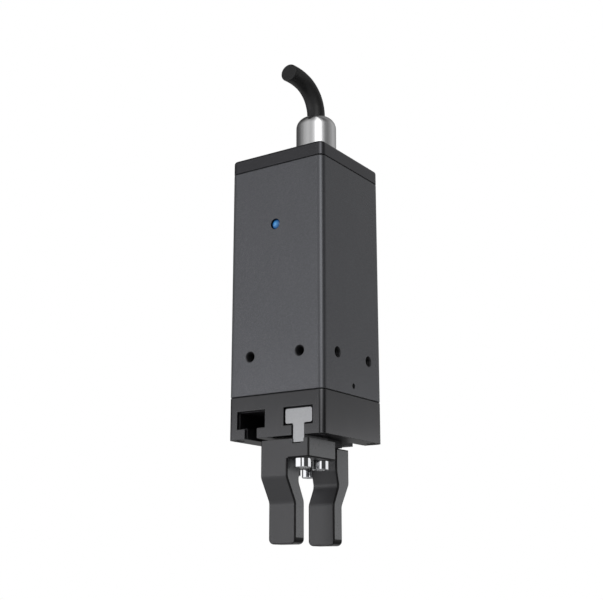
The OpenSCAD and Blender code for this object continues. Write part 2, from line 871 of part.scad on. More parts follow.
module cable() {
    rings = len(cable_path);
    n = cable_sides;
    color([0.14, 0.14, 0.14]) polyhedron(
        points = [for (i = [0 : rings - 1]) each cable_ring(cable_path, i)],
        faces = concat(
            [[for (s = [n - 1 : -1 : 0]) s]],
            [for (i = [0 : rings - 2], s = [0 : n - 1])
                [i * n + s, i * n + (s + 1) % n, (i + 1) * n + (s + 1) % n, (i + 1) * n + s]],
            [[for (s = [0 : n - 1]) (rings - 1) * n + s]]
        )
    );
}

base_block();
housing();
top_cover();
cover_seal();
cover_screws();
base_screws();
bearing_plate();
bearing_plate_screws();
stop_pins();
front_rail();
rear_rail();
front_finger();
rear_finger();
front_jaw_screws();
rear_jaw_screws();
pinion();
lower_bearing();
lower_bearing_inner();
upper_bearing();
upper_bearing_inner();
coupling_lower();
coupling_spider();
coupling_upper();
mount_plate();
mount_plate_screws();
gearhead_flange();
output_bearing();
output_bearing_inner();
planet_carrier();
planet(0);  // planet_1
planet(1);  // planet_2
planet(2);  // planet_3
ring_gear();
gearhead_screws();
sun_gear();
motor_can();
motor_stator();
motor_rotor();
encoder_magnet();
encoder_board();
encoder_cover();
control_board();
power_board();
board_spacers();
board_screws();
status_lens();
gland_body();
gland_seal();
gland_nut();
gland_locknut();
cable_inner();
cable_leads();
lead_connector();
cable();
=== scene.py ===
# %% [markdown]
# # Electric two finger gripper
# This lesson dresses a small servo gripper: a square black body with a motor inside, two steel T rails
# that slide in a base block, an L-shaped finger under each rail, and a cable that leaves the top
# through a bright gland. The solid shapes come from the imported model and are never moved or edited.
# Blender adds what the solids lack: finishes, small turned and cut details, the cable and the studio.

import json
import math
from collections import namedtuple

import bmesh
import bpy
from mathutils import Matrix, Vector


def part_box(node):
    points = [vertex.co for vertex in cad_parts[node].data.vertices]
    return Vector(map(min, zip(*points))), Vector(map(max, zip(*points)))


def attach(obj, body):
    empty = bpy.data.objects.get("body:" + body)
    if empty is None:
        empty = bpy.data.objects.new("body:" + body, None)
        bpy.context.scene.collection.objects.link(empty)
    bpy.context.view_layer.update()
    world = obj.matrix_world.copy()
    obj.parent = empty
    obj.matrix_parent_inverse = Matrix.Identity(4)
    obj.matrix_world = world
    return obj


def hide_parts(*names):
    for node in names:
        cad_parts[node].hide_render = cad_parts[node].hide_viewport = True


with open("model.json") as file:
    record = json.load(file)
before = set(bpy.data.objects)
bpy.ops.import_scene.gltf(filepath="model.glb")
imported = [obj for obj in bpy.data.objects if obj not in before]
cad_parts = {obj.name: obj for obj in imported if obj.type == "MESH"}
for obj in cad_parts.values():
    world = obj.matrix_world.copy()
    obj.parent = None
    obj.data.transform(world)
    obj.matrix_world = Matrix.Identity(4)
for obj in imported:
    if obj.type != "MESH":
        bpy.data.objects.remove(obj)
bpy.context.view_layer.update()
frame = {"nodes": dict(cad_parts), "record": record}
nodes = frame["nodes"]
scene = bpy.context.scene
mm = 0.001

# %% [markdown]
# The camera looks at the gripper from a little below and from the right of its front face. A long lens
# keeps the upright edges almost parallel, so the square body looks square. Azimuth turns round the
# upright axis and elevation goes up from the horizon, so both are easy to read off. A camera and a lamp
# both look along their own -Z axis, and `to_track_quat` turns +Z to the direction they come from.

# %% Camera
AZIMUTH, ELEVATION = 33.81, -14.54
DISTANCE = 415.6 * mm
TARGET = Vector((-2.135, 0, 92.87)) * mm


def direction(azimuth, elevation):
    """Unit vector from degrees; azimuth 0 is in front of the gripper and 90 on its right."""
    a, e = math.radians(azimuth), math.radians(elevation)
    return Vector((math.sin(a) * math.cos(e), -math.cos(a) * math.cos(e), math.sin(e)))


def aimed(name, data, target, way, distance):
    """An object that stands `distance` from the target along `way`, and looks at it."""
    made = bpy.data.objects.new(name, data)
    made.location = target + way * distance
    made.rotation_mode = "QUATERNION"
    made.rotation_quaternion = way.to_track_quat("Z", "Y")
    scene.collection.objects.link(made)
    return made


lens = bpy.data.cameras.new("camera")
lens.sensor_width = 36
lens.lens = 63.97
lens.clip_start = 0.01
scene.camera = aimed("camera", lens, TARGET, direction(AZIMUTH, ELEVATION), DISTANCE)
print("camera at mm:", [round(v / mm, 1) for v in scene.camera.location])

# %% [markdown]
# Every detail piece below starts as a plain list of points and faces. Two helpers turn such a list into
# a smooth-shaded object, so the later cells only describe shape. Edges sharper than 35 degrees stay
# crisp, which is what turned and milled metal needs. Most of these pieces are rings of points, so one
# more helper lists the faces between the rings.

# %% Mesh helpers
def linked_piece(mesh, work, sharp):
    """The bmesh as an object, smooth except at edges sharper than `sharp` degrees."""
    work.to_mesh(mesh)
    work.free()
    mesh.shade_smooth()
    mesh.set_sharp_from_angle(angle=math.radians(sharp))
    piece = bpy.data.objects.new(mesh.name, mesh)
    scene.collection.objects.link(piece)
    return piece


def add_mesh(name, points, faces, sharp=35):
    """A new object from points in metres and faces."""
    mesh = bpy.data.meshes.new(name)
    mesh.from_pydata([tuple(p) for p in points], [], faces)
    mesh.validate()
    work = bmesh.new()
    work.from_mesh(mesh)
    bmesh.ops.recalc_face_normals(work, faces=work.faces)
    return linked_piece(mesh, work, sharp)


def skin(rings, sides, first=0):
    """Quads between neighbouring rings of points; the first ring starts at point `first`."""
    return [(a + s, a + (s + 1) % sides, a + sides + (s + 1) % sides, a + sides + s)
            for a in range(first, first + (rings - 1) * sides, sides) for s in range(sides)]


def tube(rings, sides):
    """Faces of a closed tube: its skin, and a cap on each end ring."""
    last = (rings - 1) * sides
    return skin(rings, sides) + [tuple(range(sides)), tuple(range(last, last + sides))]


def turns(sides):
    """Equal steps once round, in radians."""
    return [2 * math.pi * s / sides for s in range(sides)]


print("faces of a box as a tube:", len(tube(2, 4)))

# %% [markdown]
# The cable is a round rubber-sheathed lead, 7.3 mm thick. It rises straight out of the gland, bends over
# to the front in a curve of about 14 mm radius and ends in a plain square cut. Its centre line is a
# list of route points, and a Catmull-Rom spline makes a smooth curve that passes through all of them,
# where a Bezier curve would need handles for each.

# %% Cable route
route = [Vector(p) * mm for p in (
    (0, 7.6, 152), (0, 7.6, 154.5), (0, 7.6, 157), (0, 7.6, 160), (0, 7.6, 163),
    (0, 7.6, 166), (0, 7.6, 168.3),
    (0, 7.6, 170.2), (0, 7.57, 172), (0, 7.4, 174), (-0.1, 7.04, 176), (-0.2, 6.4, 177.9),
    (-0.35, 5.5, 179.7), (-0.55, 4.3, 181.3), (-0.8, 2.7, 182.85), (-1.1, 1, 184),
    (-1.4, -0.8, 184.8), (-1.7, -2.7, 185.35), (-2, -4.65, 185.7), (-2.3, -6.6, 185.85),
    (-2.65, -8.6, 185.9),
)]


def smooth_route(points, steps):
    """Points on a Catmull-Rom spline through the route."""
    ends = [2 * points[0] - points[1]] + points + [2 * points[-1] - points[-2]]
    line = []
    for a, b, c, d in zip(ends, ends[1:], ends[2:], ends[3:]):
        for s in range(steps):
            t = s / steps
            line.append(0.5 * (2 * b + (c - a) * t + (2 * a - 5 * b + 4 * c - d) * t * t
                               + (3 * b - a - 3 * c + d) * t ** 3))
    return line + [points[-1]]


cable_line = smooth_route(route, 5)

# %% [markdown]
# A ring of points stands square to the route at each step, which keeps the tube's thickness true
# through the bend. The knife leaves a flat cut with a slightly soft rim, so the last rings follow a
# quarter circle and then close in over the cut.

# %% Cable mesh
CABLE_R = 3.65 * mm
CABLE_SIDES = 40
RIM_R = 0.3 * mm
RIM_STEPS = 4
CUT_SHARES = (0.78, 0.5, 0.2)  # radii of the rings on the cut, as shares of the cable's
RIM_RINGS = 4  # the last rings of the route, which face the way the cut does


def cable_rings():
    """(centre, radius) of each ring along the route and over the cut, and the cut's direction."""
    end, before = cable_line[-1], cable_line[-2]
    along = (end - before).normalized()
    rings = [(p, CABLE_R) for p in cable_line[:-2]]
    for step in range(RIM_STEPS + 1):
        a = math.radians(90 * step / RIM_STEPS)
        rings.append((end - along * RIM_R * (1 - math.sin(a)), CABLE_R - RIM_R * (1 - math.cos(a))))
    return rings + [(end, CABLE_R * share) for share in CUT_SHARES], along


def cable_mesh():
    rings, along = cable_rings()
    side = Vector((1, 0, 0))
    points = []
    for i, (p, r) in enumerate(rings):
        ahead = rings[min(i + 1, len(rings) - 1)][0] - rings[max(i - 1, 0)][0]
        if i > len(cable_line) - RIM_RINGS:
            ahead = along
        over = ahead.normalized().cross(side)
        points += [p + (side * math.cos(a) + over * math.sin(a)) * r for a in turns(CABLE_SIDES)]
    return add_mesh("cable_tube", points, tube(len(rings), CABLE_SIDES), sharp=50)


cable = cable_mesh()
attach(cable, "root")
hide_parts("cable")
print("cable rings:", len(cable.data.vertices) // CABLE_SIDES)

# %% [markdown]
# Light and finishes are both drawn as node trees. A tree that is built in code repeats the same few
# moves: add a node, set a number, link a socket. These helpers do them in one call, and a value may be
# a plain number or the output of another node, so a formula reads almost as it is written on paper.

# %% Node helpers
def feed(tree, socket, value):
    """Link a socket to an output, or set it to a number or a linear colour; None leaves it alone."""
    if isinstance(value, bpy.types.NodeSocket):
        tree.links.new(value, socket)
    elif value is not None:
        socket.default_value = (*value, 1) if socket.type == "RGBA" else value


def node(tree, kind, *feeds, **settings):
    """A new shader node. Feeds go to its sockets in order, and a setting goes to the property or the
    socket of that name."""
    made = tree.nodes.new("ShaderNode" + kind)
    for key, value in settings.items():
        if hasattr(made, key):
            setattr(made, key, value)
        else:
            feed(tree, made.inputs[key.replace("_", " ")], value)
    for socket, value in zip(made.inputs, feeds):
        feed(tree, socket, value)
    return made


def maths(tree, operation, *values):
    """The answer of a Math node."""
    return node(tree, "Math", *values, operation=operation).outputs[0]


def map_range(tree, value, low, high, **settings):
    """The value with low to high spread over 0 to 1, or over To_Min to To_Max."""
    return node(tree, "MapRange", value, From_Min=low, From_Max=high, **settings).outputs["Result"]


def ramp(tree, factor, stops, blend="LINEAR"):
    """A colour ramp on factor; stops are (position, grey or colour)."""
    made = node(tree, "ValToRGB", factor)
    made.color_ramp.interpolation = blend
    steps = made.color_ramp.elements
    while len(steps) < len(stops):
        steps.new(0.5)
    for step, (place, tone) in zip(steps, stops):
        step.position = place
        step.color = (*tone, 1) if hasattr(tone, "__len__") else (tone, tone, tone, 1)
    return made.outputs["Color"]


def mix(tree, factor, first, second, kind="RGBA", blend="MIX"):
    """Mix of two colours, or of two numbers where kind is FLOAT."""
    made = node(tree, "Mix", factor, data_type=kind, blend_type=blend)
    a, b, answer = (6, 7, 2) if kind == "RGBA" else (2, 3, 0)  # each kind has sockets of its own
    feed(tree, made.inputs[a], first)
    feed(tree, made.inputs[b], second)
    return made.outputs[answer]


def own_place(tree):
    """The point that is shaded, in the object's own metres."""
    return node(tree, "TexCoord").outputs["Object"]


print("shader trees are drawn by Blender", bpy.app.version_string)

# %% [markdown]
# The studio is a white room. Light Path lets the camera see pure white, while surfaces are lit at a
# lower, plain level, so a colour renders about as it is written. Polished parts show the studio round
# them, and an even white would leave them flat. They see tall soft windows with dark walls between
# them, which give chrome its bright and dark stripes. The walls are drawn in the world's colour, from
# the direction that a ray goes, so they take no geometry and throw no shadow.

# %% Walls of the studio
# Brightness by azimuth in degrees, 0 in front of the gripper and 90 on its right. The low ring of walls
# stands on the floor and the high one above it. The third ring is the pale floor itself, as it shows in
# surfaces that lean down.
LOW_RING = (
    (-180, 0.30), (-120, 0.10), (-84, 0.08), (-70, 1.0), (-10, 1.0), (0, 1.0), (4, 0.05), (20, 0.05),
    (24, 1.0), (46, 1.0), (52, 0.05), (110, 0.05), (118, 0.86), (168, 0.86), (180, 0.30),
)
HIGH_RING = (
    (-180, 0.25), (-140, 0.18), (-105, 0.05), (-80, 0.10), (-55, 0.23), (-34, 0.39), (-16, 0.47),
    (2, 0.41), (17, 0.54), (29, 1.0), (40, 1.8), (56, 1.8), (66, 0.66), (76, 0.36), (88, 0.18),
    (102, 0.16), (114, 0.21), (126, 0.27), (146, 0.38), (165, 0.33), (180, 0.25),
)
FLOOR_RING = ((-180, 0.36), (92, 0.36), (118, 0.10), (168, 0.10), (180, 0.36))
# Height of a direction, -1 straight down and 1 straight up, and how much of each ring is there
LOW_HEIGHT = ((-1.0, 0.0), (-0.22, 0.0), (-0.12, 0.2), (-0.03, 1.0), (0.105, 1.0),
              (0.14, 0.34), (0.2, 0.0), (1.0, 0.0))
HIGH_HEIGHT = ((-1.0, 0.0), (0.12, 0.0), (0.23, 1.0), (0.5, 1.0), (0.82, 0.6), (1.0, 0.5))
FLOOR_HEIGHT = ((-1.0, 0.7), (-0.5, 1.0), (-0.22, 1.0), (-0.12, 0.2), (-0.04, 0.0), (1.0, 0.0))
RING_LEVEL = 1.2

scene.view_settings.view_transform = "Standard"
world = bpy.data.worlds.new("white_studio")
scene.world = world
world.use_nodes = True
sky = world.node_tree
split = node(sky, "SeparateXYZ", node(sky, "TexCoord").outputs["Generated"]).outputs
heading = maths(sky, "ARCTAN2", split["X"], maths(sky, "MULTIPLY", split["Y"], -1))
turn = map_range(sky, heading, -math.pi, math.pi)
height = map_range(sky, split["Z"], -1.0, 1.0)


def ring_light(azimuths, heights):
    """Brightness of one ring in the direction of a ray."""
    across = ramp(sky, turn, [((a + 180) / 360, v) for a, v in azimuths], "EASE")
    upright = ramp(sky, height, [((h + 1) / 2, v) for h, v in heights], "EASE")
    return maths(sky, "MULTIPLY", maths(sky, "MULTIPLY", across, upright), RING_LEVEL)


walls = maths(sky, "ADD", ring_light(LOW_RING, LOW_HEIGHT), ring_light(HIGH_RING, HIGH_HEIGHT))
mirrored = maths(sky, "ADD", walls, ring_light(FLOOR_RING, FLOOR_HEIGHT))
print("wall stops:", len(LOW_RING), "and", len(HIGH_RING))

# %% [markdown]
# Three kinds of rays see three kinds of room. Rays that scatter from a matt surface meet one even
# grey, mirrored rays meet the walls, and the camera, also through clear parts, meets pure white.

# %% What each ray sees
LIGHT_LEVEL = 0.32
rays = node(sky, "LightPath").outputs
lit = mix(sky, rays["Is Glossy Ray"], (LIGHT_LEVEL,) * 3, mirrored)
white = maths(sky, "MAXIMUM", rays["Is Camera Ray"], rays["Is Transmission Ray"])
feed(sky, sky.nodes["Background"].inputs["Color"], mix(sky, white, lit, (1, 1, 1)))
print("even light:", LIGHT_LEVEL)

# %% [markdown]
# Three large soft lamps give the matt finishes their shape: a key from the front left, a weak fill from
# the right and a lamp behind, so that the back isn't lost. They are hidden from mirrored rays, because
# the walls already say what polished parts show.

# %% Lamps
LAMP_TARGET = Vector((0, 0, 0.09))
LAMP_SIZE = 0.7


def soft_lamp(name, azimuth, elevation, distance, power):
    """A square soft lamp that looks at the middle of the gripper."""
    data = bpy.data.lights.new(name, "AREA")
    data.shape = "SQUARE"
    data.size = LAMP_SIZE
    data.energy = power
    lamp = aimed(name, data, LAMP_TARGET, direction(azimuth, elevation), distance)
    lamp.visible_glossy = lamp.visible_camera = False


soft_lamp("key_lamp", azimuth=-32, elevation=12, distance=1.1, power=10.0)
soft_lamp("fill_lamp", azimuth=70, elevation=20, distance=1.2, power=0.45)
soft_lamp("back_lamp", azimuth=208, elevation=14, distance=1.1, power=8.0)

# %% [markdown]
# The gripper hangs from its side threads, as on a robot arm, so the floor lies 60 mm below the fingers.
# It is a pale matt sheet that keeps the soft shadow. Away from the gripper the camera sees it fade to
# the white of the room, so no horizon line shows. Its upper side has to face up: from below the sheet
# is clear, so the underside of the gripper can be looked at.

# %% Floor
FLOOR_Z = -0.06
FLOOR_RADII = (0.05, 0.12, 0.25, 0.5, 0.9, 1.6)  # finer towards the middle, where the shadow falls
FLOOR_SIDES = 64
FADE_START, FADE_END, FADE_LEAST = 0.12, 0.42, 0.6
PAPER_LIT, PAPER_SEEN = 0.3, 0.88  # its tone for light that bounces off it, and for the camera


def floor_disc():
    points = [(0, 0, FLOOR_Z)] + [(r * math.cos(a), r * math.sin(a), FLOOR_Z)
                                  for r in FLOOR_RADII for a in turns(FLOOR_SIDES)]
    fan = [(0, 1 + s, 1 + (s + 1) % FLOOR_SIDES) for s in range(FLOOR_SIDES)]
    disc = add_mesh("floor", points, fan + skin(len(FLOOR_RADII), FLOOR_SIDES, first=1))
    if disc.data.polygons[0].normal.z < 0:
        disc.data.flip_normals()
    return disc


def new_material(name, **sockets):
    """A material, its tree and its Principled shader, with some sockets set."""
    material = bpy.data.materials.new(name)
    material.use_nodes = True
    paint = material.node_tree.nodes["Principled BSDF"]
    for key, value in sockets.items():
        paint.inputs[key.replace("_", " ")].default_value = value
    return material, material.node_tree, paint


def floor_paper():
    material, tree, paint = new_material("floor_paper", Roughness=0.9, Specular_IOR_Level=0)
    far = node(tree, "VectorMath", own_place(tree), operation="LENGTH")
    fade = map_range(tree, far.outputs["Value"], FADE_START, FADE_END, To_Min=FADE_LEAST,
                     interpolation_type="SMOOTHSTEP")
    seen = node(tree, "LightPath").outputs["Is Camera Ray"]
    feed(tree, paint.inputs["Base Color"], ramp(tree, seen, ((0.0, PAPER_LIT), (1.0, PAPER_SEEN))))
    glow = node(tree, "Emission", Strength=1.0).outputs[0]
    sheet = node(tree, "MixShader", maths(tree, "MULTIPLY", fade, seen), paint.outputs[0], glow)
    below = node(tree, "NewGeometry").outputs["Backfacing"]
    clear = node(tree, "BsdfTransparent").outputs[0]
    both = node(tree, "MixShader", below, sheet.outputs[0], clear)
    feed(tree, tree.nodes["Material Output"].inputs["Surface"], both.outputs[0])
    return material


floor = floor_disc()
floor.data.materials.append(floor_paper())
floor.visible_glossy = False
print("floor at mm:", FLOOR_Z / mm)

# %% [markdown]
# Materials come next. Real metal is never one even colour: the finish has grain, the tone drifts a
# little from one centimetre to the next, and edges are slightly rounded and catch the light. The
# helpers below build those three things from noise in the object's own coordinates, so the grain has a
# true size in millimetres and moves with its part. The Bevel node rounds edges in the shading, for the
# small edge breaks that every machined part has.

# %% Grain, drift and edges
def srgb(*tone):
    """Linear colour from 0-255 screen values."""
    return tuple(v / 255 / 12.92 if v <= 10 else ((v / 255 + 0.055) / 1.055) ** 2.4 for v in tone)


def noise(tree, size, stretch=(1, 1, 1), detail=2.0):
    """Noise from 0 to 1 whose grains are `size` metres across, divided by stretch along each axis."""
    scaled = node(tree, "Mapping", own_place(tree), Scale=[s / size for s in stretch]).outputs[0]
    return node(tree, "TexNoise", scaled, Scale=1.0, Detail=detail).outputs["Fac"]


def spread(tree, value, low, high):
    """Noise values, which gather round 0.5, spread over low to high."""
    return map_range(tree, value, 0.3, 0.7, To_Min=low, To_Max=high)


def edge_share(tree, radius):
    """(mask, normal): 1 on edges within radius, and a normal that is rounded there. The mask comes from
    how far the rounded normal agrees with the flat one."""
    rounded = node(tree, "Bevel", radius, samples=6).outputs[0]
    flat = node(tree, "NewGeometry").outputs["Normal"]
    agree = node(tree, "VectorMath", rounded, flat, operation="DOT_PRODUCT").outputs["Value"]
    return map_range(tree, agree, 0.98, 0.75), rounded


def bump(tree, paint, height, depth, normal=None):
    """Bumps of `depth` metres from a 0-1 height."""
    made = node(tree, "Bump", Strength=1.0, Distance=depth, Height=height, Normal=normal)
    feed(tree, paint.inputs["Normal"], made.outputs[0])


def axes(tree):
    """X, Y and Z of the point that is shaded."""
    return node(tree, "SeparateXYZ", own_place(tree)).outputs


print("mid grey is", round(srgb(128)[0], 3), "in linear light")

# %% [markdown]
# Nearly every part takes its finish from one recipe, and only the numbers differ. `drift` is how far
# the tone wanders, `swing` how far the roughness does, `edge` is the width of the edge break and `worn`
# its tone. A tall part can also be painted darker towards its top and lighter towards its bottom, as
# painted shade. Each finish is kept under its name for the dressing later on.

# %% One recipe for the finishes
CLOUD = 9 * mm  # size of the slow drift
PATCH = 1.2 * mm  # size of the worn patches along an edge
PAINTED_SHADE_FROM, PAINTED_SHADE_TO = 0.053, 0.141  # heights between which the painted shade changes
finishes = {}


def surface(name, tone, roughness, metallic=0.0, grain=0.2 * mm, stretch=(1, 1, 1), depth=2e-6,
            drift=0.05, swing=0.05, edge=0.0, worn=None, painted_top_shade=0.0):
    """Add one finish: grain for bump and gloss, a slow drift of tone, and rounded edges."""
    material, tree, paint = new_material(name, Metallic=metallic)
    fine = noise(tree, grain, stretch)
    cloud = noise(tree, CLOUD, (1, 1, 0.6), detail=4)
    less, more = 1 - drift, 1 + drift
    darker, lighter = ([v * share for v in srgb(*tone)] for share in (less, more))
    colour = mix(tree, spread(tree, cloud, 0, 1), darker, lighter)
    speck = mix(tree, spread(tree, fine, 0, 1), (less,) * 3, (more,) * 3)
    colour = mix(tree, 1, colour, speck, blend="MULTIPLY")
    # Painted shade: a tall part is painted lighter at its bottom and darker at its top
    if painted_top_shade:
        climb = map_range(tree, axes(tree)["Z"], PAINTED_SHADE_FROM, PAINTED_SHADE_TO)
        painted_shade = ramp(tree, climb, ((0, 1 + painted_top_shade), (1, 1 - painted_top_shade)))
        colour = mix(tree, 1, colour, painted_shade, blend="MULTIPLY")
    normal = None
    if edge:
        mask, normal = edge_share(tree, edge)
        if worn:
            patchy = maths(tree, "MULTIPLY", mask, spread(tree, noise(tree, PATCH, detail=4), 0.2, 1.0))
            colour = mix(tree, patchy, colour, srgb(*worn))
    feed(tree, paint.inputs["Base Color"], colour)
    feed(tree, paint.inputs["Roughness"], spread(tree, fine, roughness - swing, roughness + swing))
    bump(tree, paint, fine, depth, normal)
    finishes[name] = material


print("slow drift of tone over mm:", round(CLOUD / mm, 1))

# %% [markdown]
# The body parts are aluminium, blasted with fine beads and dyed dark in the anodising bath. The dye
# sits in a clear oxide layer on bright metal, so part of the light is scattered and part is mirrored in
# a dark tone. `metallic` sets that share: the housing is satin and the lightest, the base block and the
# cover are darker and more mirror-like. The fingers have three finishes: their wide faces, the eased
# edges, painted darker as a painted dark reflection, and the side faces, painted lighter as painted
# light, with faint lines of the cutter.

# %% Anodised aluminium
# The housing is painted darker towards its top, as painted shade
surface("housing_anodised", (99, 100, 104), 0.25, metallic=0.6, grain=0.16 * mm, depth=2e-6,
        drift=0.025, edge=0.35 * mm, worn=(132, 132, 136), painted_top_shade=0.075)
surface("base_anodised", (93, 93, 95), 0.14, metallic=0.9, grain=0.14 * mm, depth=6e-7,
        drift=0.025, swing=0.03, edge=0.25 * mm, worn=(108, 108, 111))
surface("cover_anodised", (80, 80, 83), 0.17, metallic=0.9, grain=0.12 * mm, depth=6e-7,
        drift=0.025, edge=0.3 * mm, worn=(96, 96, 99))
surface("finger_anodised", (75, 75, 77), 0.32, metallic=0.35, grain=0.18 * mm, depth=1.5e-6, drift=0.03)
# The eased edges of the fingers are painted dark as a painted dark reflection, and their side faces
# lighter as painted light
surface("finger_painted_dark_edge", (34, 34, 35), 0.42, metallic=0.6, grain=0.18 * mm, depth=1e-6, drift=0.06)
surface("finger_painted_lit_side", (113, 114, 116), 0.30, metallic=0.45, grain=0.18 * mm, stretch=(1, 0.3, 1),
        depth=1.5e-6, drift=0.03)
print("anodised:", [n for n in finishes if "anodised" in n])

# %% [markdown]
# Where two body parts meet there is a fine joint, about a sixth of a millimetre wide on each part.
# It is painted dark, as painted shade in the gap together with dirt. A Compare node on the height finds
# it. The two joints lie at the bottom and the top of the housing. A joint could be modelled as a groove,
# but it is finer than any mesh here needs to be.

# %% Joints between the body parts
JOINT = 0.17 * mm
JOINT_SHADE_AND_DIRT = (26, 26, 27), 0.6  # tone and roughness of the painted shade and dirt in the joints
housing_low, housing_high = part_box("housing")
seams = (housing_low.z, housing_high.z)


def paint_shade_and_dirt(name, mask, tone, roughness):
    """Another tone and roughness on a finish, where the mask is 1; used for painted shade, and in the
    joints also for dirt.
    """
    tree = finishes[name].node_tree
    paint = tree.nodes["Principled BSDF"].inputs
    for key, second, kind in (("Base Color", srgb(*tone), "RGBA"), ("Roughness", roughness, "FLOAT")):
        feed(tree, paint[key], mix(tree, mask, paint[key].links[0].from_socket, second, kind))


def at_height(name, height, reach):
    """1 where a point of this finish lies within reach of a height."""
    tree = finishes[name].node_tree
    return maths(tree, "COMPARE", axes(tree)["Z"], height, reach)


# Painted shade and dirt in the joints
for name, heights in (("housing", seams), ("base", seams[:1]), ("cover", seams[1:])):
    for z in heights:
        paint_shade_and_dirt(name + "_anodised", at_height(name + "_anodised", z, JOINT), *JOINT_SHADE_AND_DIRT)
print("joints at mm:", [round(z / mm, 1) for z in seams])

# %% [markdown]
# The walls of the two slideways in the base block lie in deep shade, so they are painted dark as painted
# shade. That tone covers only the walls of the slots, so the finish needs to know where those walls are.
# Three Compare nodes, one for each axis, make a box: the answer is 1 inside it and 0 outside. The body
# is the same on its left and right, so one axis is taken without its sign and one box does for both
# slots. The block's underside is painted darker too, as painted shade.

# %% Painted shade in the slideways
SLOT_REACH_X, SLOT_REACH_Z, SLOT_MIDDLE_Z = 6.35 * mm, 5.09 * mm, 5.17 * mm
FACE_GAP = 0.04 * mm  # the box ends this far behind the block's faces, which keep their own tone
UNDERSIDE_REACH = 0.02 * mm
SLOT_SHADE, UNDERSIDE_SHADE = ((66, 66, 68), 0.5), ((50, 50, 52), 0.4)  # tone and roughness of the painted shade on the slot walls and under the block
base_low, base_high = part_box("base_block")
rail_low, rail_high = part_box("front_rail")
rail_x, rail_z = (rail_low.x + rail_high.x) / 2, (rail_low.z + rail_high.z) / 2


def inside(name, centre, reach, mirrored=""):
    """1 where a point of this finish lies within reach of the centre; one axis may be mirrored."""
    tree = finishes[name].node_tree
    place, answer = axes(tree), 1
    for axis, middle, half_size in zip("XYZ", centre, reach):
        value = maths(tree, "ABSOLUTE", place[axis]) if axis == mirrored else place[axis]
        answer = maths(tree, "MULTIPLY", maths(tree, "COMPARE", value, middle, half_size), answer)
    return answer


slot_walls = inside("base_anodised", (rail_x, 0, base_low.z + SLOT_MIDDLE_Z),
                    (SLOT_REACH_X, base_high.y - FACE_GAP, SLOT_REACH_Z), mirrored="X")
# Painted shade on the slot walls and on the block's underside
paint_shade_and_dirt("base_anodised", slot_walls, *SLOT_SHADE)
paint_shade_and_dirt("base_anodised", at_height("base_anodised", base_low.z, UNDERSIDE_REACH), *UNDERSIDE_SHADE)
print("greased slots at x in mm: +-", round(rail_x / mm, 2))

# %% [markdown]
# The bores of the threaded holes and of the lamp are deep and narrow. Little light gets in, so they are
# painted darker as painted shade. The same box masks find them in the housing's two faces.

# %% Dark bores
SIDE_HOLE_X, SIDE_HOLE_Z = 11 * mm, housing_low.z + 14.6 * mm
BORE_REACH, BORE_DEEP, RIM_GAP = 2.4 * mm, 4 * mm, 0.03 * mm
BORE_SHADE = (50, 50, 52), 0.5
lens_low, lens_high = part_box("status_lens")
lens_middle, lens_r = (lens_low + lens_high) / 2, (lens_high.x - lens_low.x) / 2
across, inwards = BORE_REACH, BORE_DEEP - RIM_GAP
BORES = (  # middle and reach of each box, and the axis that is mirrored
    ((SIDE_HOLE_X, housing_low.y + BORE_DEEP, SIDE_HOLE_Z), (across, inwards, across), "X"),
    ((housing_high.x - BORE_DEEP, SIDE_HOLE_X, SIDE_HOLE_Z), (inwards, across, across), "Y"),
    ((0, housing_low.y + BORE_DEEP, lens_middle.z), (across, inwards, across), "X"),
)
# Painted shade in the bores
for bore in BORES:
    paint_shade_and_dirt("housing_anodised", inside("housing_anodised", *bore), *BORE_SHADE)
# The threads in the holes get a dark finish, as painted shade
surface("tapped_thread", (44, 44, 46), 0.5, metallic=0.3, grain=0.1 * mm, depth=1e-6, drift=0.1)
print("dark bores:", len(BORES))

# %% [markdown]
# The rails are ground steel with a fine grain. Their outer ends stay bright, while the faces that slide
# in the block are painted darker as painted shade, and the ends that stay inside the block darker still.
# The direction of a face tells the two apart. It is turned into the object's own axes first, so that
# the painted shade stays put when the rail moves.

# %% Rails with painted shade
SLIDING = 0.7  # faces whose normal has less than this along Y
# Tone and roughness of the painted shade on the sliding faces and on the ends inside the block
SLIDE_SHADE, INNER_SHADE = ((104, 104, 106), 0.42), ((62, 62, 64), 0.5)
INNER_REACH = (21 * mm, 5 * mm, 20 * mm)
surface("rail_steel", (198, 199, 202), 0.30, metallic=1, grain=0.12 * mm, depth=1e-6, drift=0.03,
        swing=0.06, edge=0.15 * mm)


def sliding_faces(tree):
    """1 on faces that run along Y."""
    local = node(tree, "VectorTransform", node(tree, "NewGeometry").outputs["Normal"],
                 vector_type="NORMAL", convert_from="WORLD", convert_to="OBJECT").outputs[0]
    return maths(tree, "COMPARE", node(tree, "SeparateXYZ", local).outputs["Y"], 0, SLIDING)


# Painted shade on the sliding faces, and darker painted shade on the ends inside the block
paint_shade_and_dirt("rail_steel", sliding_faces(finishes["rail_steel"].node_tree), *SLIDE_SHADE)
paint_shade_and_dirt("rail_steel", inside("rail_steel", (0, 0, rail_z), INNER_REACH), *INNER_SHADE)
print("rail middle at mm:", round(rail_x / mm, 2), round(rail_z / mm, 2))

# %% [markdown]
# Steel comes in several more states here. The jaw screws are polished and chrome plated. Bearings, pins
# and shafts are ground round, the gears are cut and hardened, and the hidden fasteners are plain
# stainless. Stretching the noise along one axis turns grains into the lines of a tool.

